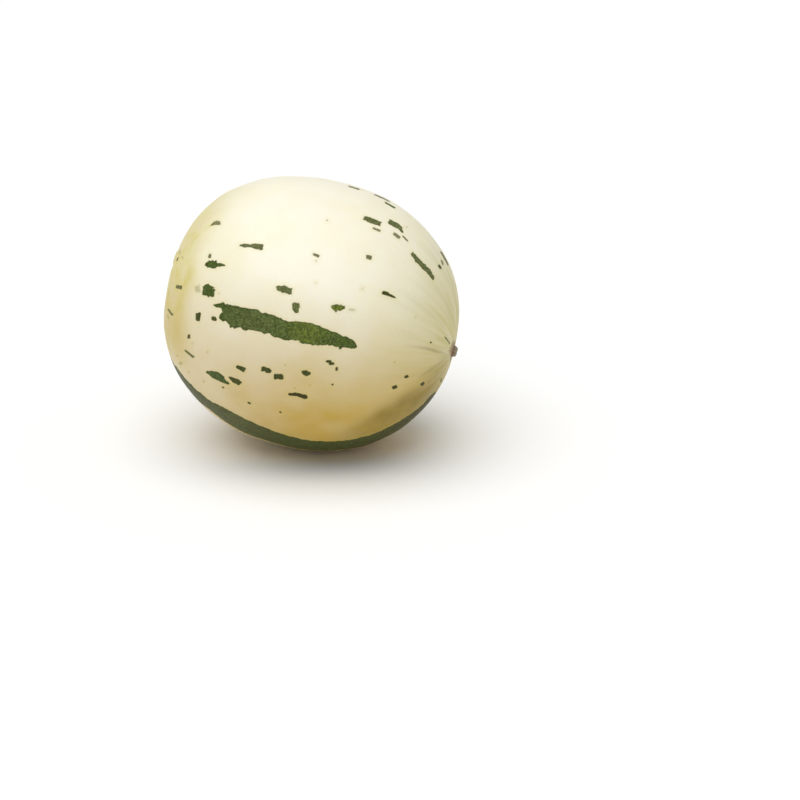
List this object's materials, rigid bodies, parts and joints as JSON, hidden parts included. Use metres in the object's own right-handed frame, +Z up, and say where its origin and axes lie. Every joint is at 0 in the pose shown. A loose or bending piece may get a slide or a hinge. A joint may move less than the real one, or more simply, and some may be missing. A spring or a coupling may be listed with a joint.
{
  "type": "melon",
  "caption": "Whole round-oval melon lying on its side: cream rind with dark green flecks and streaks, shallow furrows at the stalk end and a dried stalk stub.",
  "frame": {"origin": "middle of the footprint box, on the level of the small flat spot that the fruit rests on", "axes": "+Z up, +X along the plan of the stem line towards the stalk end, which is the lower end, and -Y out of the side with the long green streak"},
  "size_m": [0.1774, 0.1616, 0.1633],
  "materials": {
    "rind": "smooth waxy cream rind, satin, with dark green flecks and streaks",
    "stalk": "dry, corky and matte"
  },
  "bodies": {
    "root": {"melon": "rind", "stem_stub": "stalk"}
  },
  "joints": []
}
